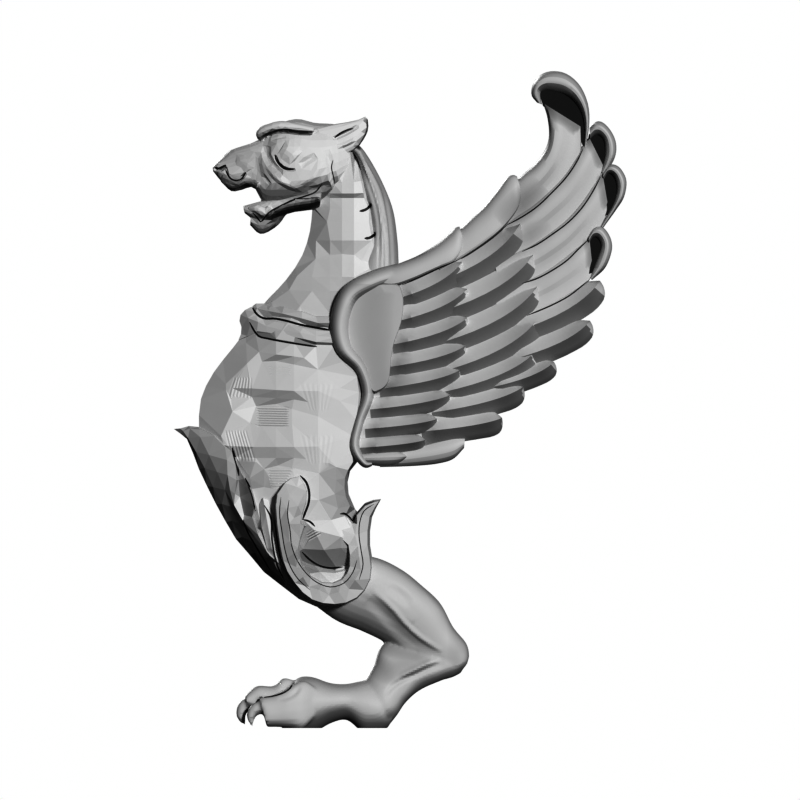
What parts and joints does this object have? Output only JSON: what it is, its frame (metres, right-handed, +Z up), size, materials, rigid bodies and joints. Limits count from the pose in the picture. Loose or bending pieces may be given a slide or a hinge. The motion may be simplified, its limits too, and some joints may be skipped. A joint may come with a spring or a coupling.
{
  "type": "griffin statue",
  "caption": "Carved griffin support: a snarling head and feathered wings rise from a cup of acanthus leaves on a lion's leg, standing on its own paw.",
  "frame": {"origin": "on the floor, at the flat of the heel, in the plane of symmetry", "axes": "+Z up, -X the way the beast looks, -Y its near side in the picture"},
  "size_m": [0.5017, 0.1904, 0.7233],
  "materials": {
    "carving": "carved hardwood under an even satin grey primer"
  },
  "bodies": {
    "root": {"griffin": "carving"}
  },
  "joints": []
}
